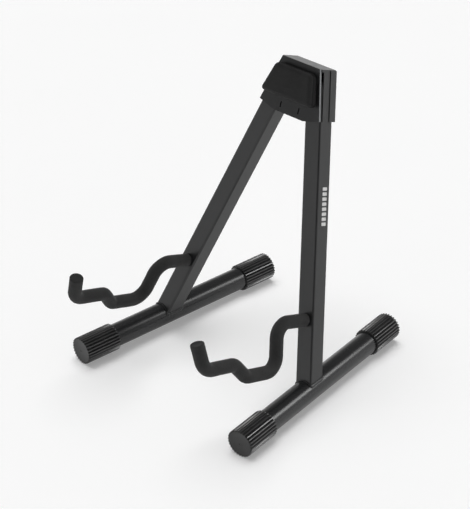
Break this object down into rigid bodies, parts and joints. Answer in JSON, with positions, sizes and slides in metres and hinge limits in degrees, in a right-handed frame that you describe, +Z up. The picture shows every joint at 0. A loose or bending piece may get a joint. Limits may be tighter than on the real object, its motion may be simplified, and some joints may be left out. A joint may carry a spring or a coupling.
{
  "type": "folding guitar stand",
  "caption": "Folding A-frame floor stand for a guitar: hinged legs on long capped feet, foam-sleeved cradle arms and a padded head.",
  "frame": {"origin": "on the floor, under the middle of the open stand's bounding box", "axes": "+Z up, +X to the right of someone facing the stand, so the cradle arms point to -Y"},
  "size_m": [0.2614, 0.2974, 0.3166],
  "materials": {
    "black_paint": "satin black powder coat",
    "plate_paint": "satin black powder coat",
    "rod_steel": "black painted rod",
    "foot_rubber": "matte ribbed rubber",
    "tip_rubber": "matte rubber",
    "pad_rubber": "soft matte rubber",
    "arm_foam": "matte closed-cell foam",
    "housing_plastic": "fine-textured black plastic",
    "nylon": "black nylon",
    "washer_nylon": "natural nylon",
    "bright_steel": "zinc plated",
    "black_screws": "black oxide"
  },
  "bodies": {
    "head": {"front_plate": "plate_paint", "bumper_pad": "pad_rubber", "rear_housing": "housing_plastic", "stop_block": "nylon", "pivot_bolts": "bright_steel", "thrust_washers": "washer_nylon", "steel_washers": "bright_steel", "pivot_nuts": "bright_steel", "housing_screws": "black_screws", "plate_screws": "black_screws"},
    "right_leg": {"right_base_tube": "black_paint", "right_front_foot_cap": "foot_rubber", "right_rear_foot_cap": "foot_rubber", "right_leg_tube": "black_paint", "right_leg_weld": "black_paint", "right_leg_plug": "nylon", "right_pivot_bush": "bright_steel", "right_arm_rod": "rod_steel", "right_arm_weld": "black_paint", "right_arm_foam": "arm_foam", "right_arm_tip": "tip_rubber"},
    "left_leg": {"left_base_tube": "black_paint", "left_front_foot_cap": "foot_rubber", "left_rear_foot_cap": "foot_rubber", "left_leg_tube": "black_paint", "left_leg_weld": "black_paint", "left_leg_plug": "nylon", "left_pivot_bush": "bright_steel", "left_arm_rod": "rod_steel", "left_arm_weld": "black_paint", "left_arm_foam": "arm_foam", "left_arm_tip": "tip_rubber"}
  },
  "joints": [
    {"name": "right_leg_fold", "type": "hinge", "parent": "head", "child": "right_leg", "pos_m": [0.01983, 0.10318, 0.29496], "axis": [0, 0.9382, -0.3461], "range_deg": [0, 15.84]},
    {"name": "left_leg_fold", "type": "hinge", "parent": "head", "child": "left_leg", "pos_m": [-0.01983, 0.10318, 0.29496], "axis": [0, -0.9382, 0.3461], "range_deg": [0, 15.84]}
  ]
}
